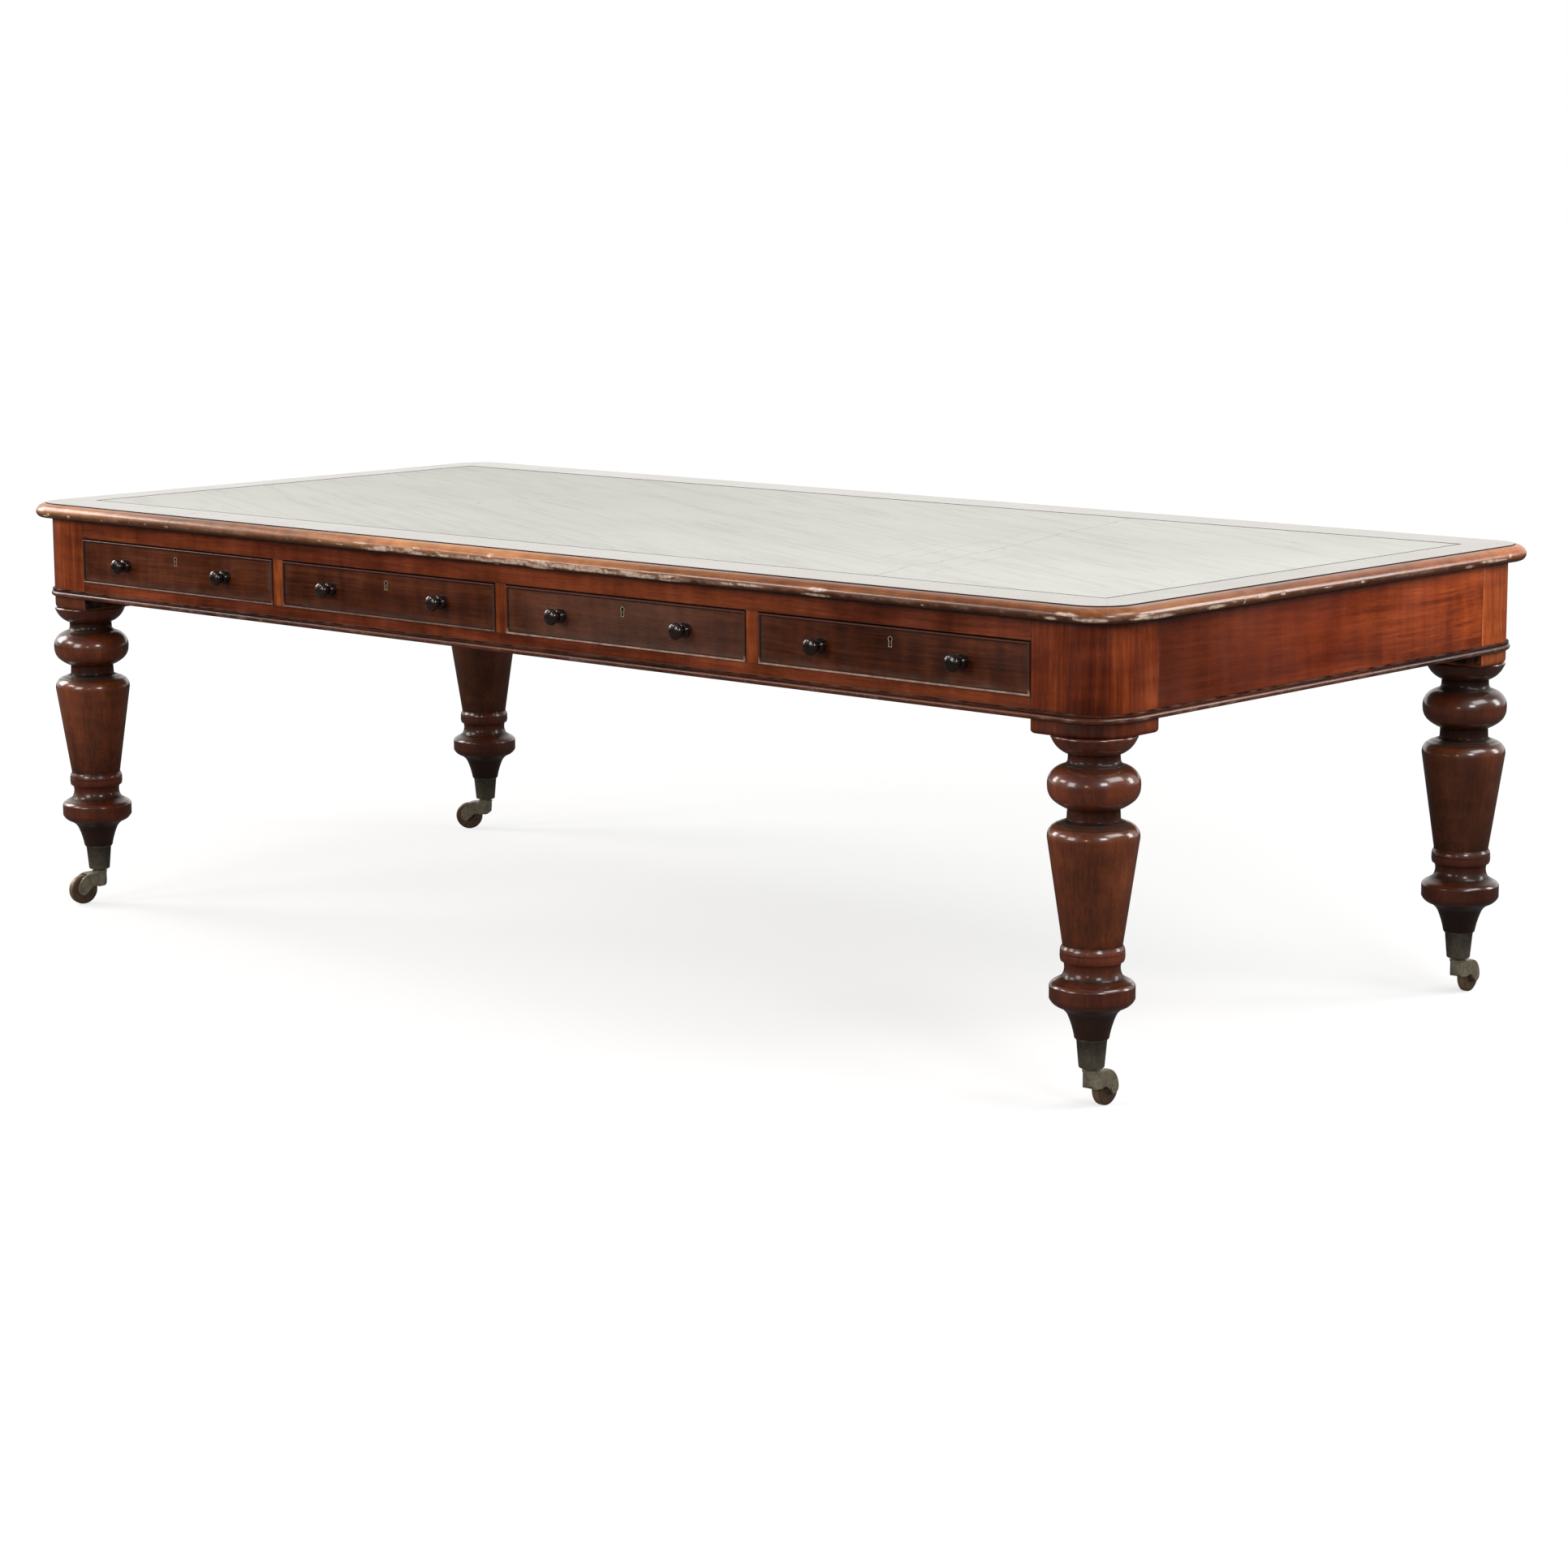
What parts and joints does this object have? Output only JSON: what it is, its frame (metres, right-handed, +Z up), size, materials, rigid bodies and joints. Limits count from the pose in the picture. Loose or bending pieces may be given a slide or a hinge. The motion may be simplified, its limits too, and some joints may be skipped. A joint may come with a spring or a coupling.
{
  "type": "writing table",
  "caption": "Victorian mahogany library writing table with a leather-lined top, cockbeaded frieze drawers on both long sides, turned legs and brass casters",
  "frame": {"origin": "on the floor under the middle of the top", "axes": "+X along the table to the right of someone facing the drawers in the picture, -Y out of those drawers, +Z up"},
  "size_m": [2.546, 1.192, 0.76],
  "materials": {
    "mahogany": "french polished, worn",
    "mahogany_edge": "worn polish, paler at the arris",
    "mahogany_drawer": "dark french polish",
    "dark_turned_wood": "glossy",
    "oak_lining": "bare, planed",
    "pine_carcass": "bare, planed",
    "leather": "waxed skiver",
    "aged_brass": "tarnished",
    "worn_wheel_brass": "tarnished, tread worn bright"
  },
  "bodies": {
    "table_frame": {"top_border": "mahogany", "top_edge_moulding": "mahogany_edge", "top_panel": "pine_carcass", "leather_inset": "leather", "long_rails": "mahogany", "end_rails": "mahogany", "drawer_dividers": "mahogany", "drawer_runners": "pine_carcass", "drawer_kickers": "pine_carcass", "centre_rail": "pine_carcass", "frieze_bead": "mahogany", "corner_post_front_left": "mahogany", "leg_front_left": "mahogany", "corner_post_front_right": "mahogany", "leg_front_right": "mahogany", "corner_post_back_left": "mahogany", "leg_back_left": "mahogany", "corner_post_back_right": "mahogany", "leg_back_right": "mahogany", "caster_cups": "aged_brass"},
    "drawer_1": {"drawer_1_front": "mahogany_drawer", "drawer_1_box": "oak_lining", "drawer_1_knobs": "dark_turned_wood", "drawer_1_lock": "aged_brass"},
    "drawer_2": {"drawer_2_front": "mahogany_drawer", "drawer_2_box": "oak_lining", "drawer_2_knobs": "dark_turned_wood", "drawer_2_lock": "aged_brass"},
    "drawer_3": {"drawer_3_front": "mahogany_drawer", "drawer_3_box": "oak_lining", "drawer_3_knobs": "dark_turned_wood", "drawer_3_lock": "aged_brass"},
    "drawer_4": {"drawer_4_front": "mahogany_drawer", "drawer_4_box": "oak_lining", "drawer_4_knobs": "dark_turned_wood", "drawer_4_lock": "aged_brass"},
    "drawer_5": {"drawer_5_front": "mahogany_drawer", "drawer_5_box": "oak_lining", "drawer_5_knobs": "dark_turned_wood", "drawer_5_lock": "aged_brass"},
    "drawer_6": {"drawer_6_front": "mahogany_drawer", "drawer_6_box": "oak_lining", "drawer_6_knobs": "dark_turned_wood", "drawer_6_lock": "aged_brass"},
    "drawer_7": {"drawer_7_front": "mahogany_drawer", "drawer_7_box": "oak_lining", "drawer_7_knobs": "dark_turned_wood", "drawer_7_lock": "aged_brass"},
    "drawer_8": {"drawer_8_front": "mahogany_drawer", "drawer_8_box": "oak_lining", "drawer_8_knobs": "dark_turned_wood", "drawer_8_lock": "aged_brass"},
    "caster_front_left": {"caster_horn_front_left": "aged_brass"},
    "wheel_front_left": {"caster_wheel_front_left": "worn_wheel_brass"},
    "caster_front_right": {"caster_horn_front_right": "aged_brass"},
    "wheel_front_right": {"caster_wheel_front_right": "worn_wheel_brass"},
    "caster_back_left": {"caster_horn_back_left": "aged_brass"},
    "wheel_back_left": {"caster_wheel_back_left": "worn_wheel_brass"},
    "caster_back_right": {"caster_horn_back_right": "aged_brass"},
    "wheel_back_right": {"caster_wheel_back_right": "worn_wheel_brass"}
  },
  "joints": [
    {"name": "drawer_1_slide", "type": "slide", "parent": "table_frame", "child": "drawer_1", "axis": [0, -1, 0], "range_m": [0, 0.36]},
    {"name": "drawer_2_slide", "type": "slide", "parent": "table_frame", "child": "drawer_2", "axis": [0, -1, 0], "range_m": [0, 0.36]},
    {"name": "drawer_3_slide", "type": "slide", "parent": "table_frame", "child": "drawer_3", "axis": [0, -1, 0], "range_m": [0, 0.36]},
    {"name": "drawer_4_slide", "type": "slide", "parent": "table_frame", "child": "drawer_4", "axis": [0, -1, 0], "range_m": [0, 0.36]},
    {"name": "drawer_5_slide", "type": "slide", "parent": "table_frame", "child": "drawer_5", "axis": [0, 1, 0], "range_m": [0, 0.36]},
    {"name": "drawer_6_slide", "type": "slide", "parent": "table_frame", "child": "drawer_6", "axis": [0, 1, 0], "range_m": [0, 0.36]},
    {"name": "drawer_7_slide", "type": "slide", "parent": "table_frame", "child": "drawer_7", "axis": [0, 1, 0], "range_m": [0, 0.36]},
    {"name": "drawer_8_slide", "type": "slide", "parent": "table_frame", "child": "drawer_8", "axis": [0, 1, 0], "range_m": [0, 0.36]},
    {"name": "caster_swivel_front_left", "type": "hinge", "parent": "table_frame", "child": "caster_front_left", "pos_m": [-1.1815, -0.5015, 0.0643], "axis": [0, 0, 1], "continuous": true},
    {"name": "wheel_spin_front_left", "type": "hinge", "parent": "caster_front_left", "child": "wheel_front_left", "pos_m": [-1.18878, -0.53574, 0.0275], "axis": [0.9781, -0.2079, 0], "continuous": true},
    {"name": "caster_swivel_front_right", "type": "hinge", "parent": "table_frame", "child": "caster_front_right", "pos_m": [1.1815, -0.5015, 0.0643], "axis": [0, 0, 1], "continuous": true},
    {"name": "wheel_spin_front_right", "type": "hinge", "parent": "caster_front_right", "child": "wheel_front_right", "pos_m": [1.18028, -0.46652, 0.0275], "axis": [-0.9994, -0.0349, 0], "continuous": true},
    {"name": "caster_swivel_back_left", "type": "hinge", "parent": "table_frame", "child": "caster_back_left", "pos_m": [-1.1815, 0.5015, 0.0643], "axis": [0, 0, 1], "continuous": true},
    {"name": "wheel_spin_back_left", "type": "hinge", "parent": "caster_back_left", "child": "wheel_back_left", "pos_m": [-1.21052, 0.48193, 0.0275], "axis": [0.5592, -0.829, 0], "continuous": true},
    {"name": "caster_swivel_back_right", "type": "hinge", "parent": "table_frame", "child": "caster_back_right", "pos_m": [1.1815, 0.5015, 0.0643], "axis": [0, 0, 1], "continuous": true},
    {"name": "wheel_spin_back_right", "type": "hinge", "parent": "caster_back_right", "child": "wheel_back_right", "pos_m": [1.17906, 0.53641, 0.0275], "axis": [-0.9976, -0.0698, 0], "continuous": true}
  ]
}
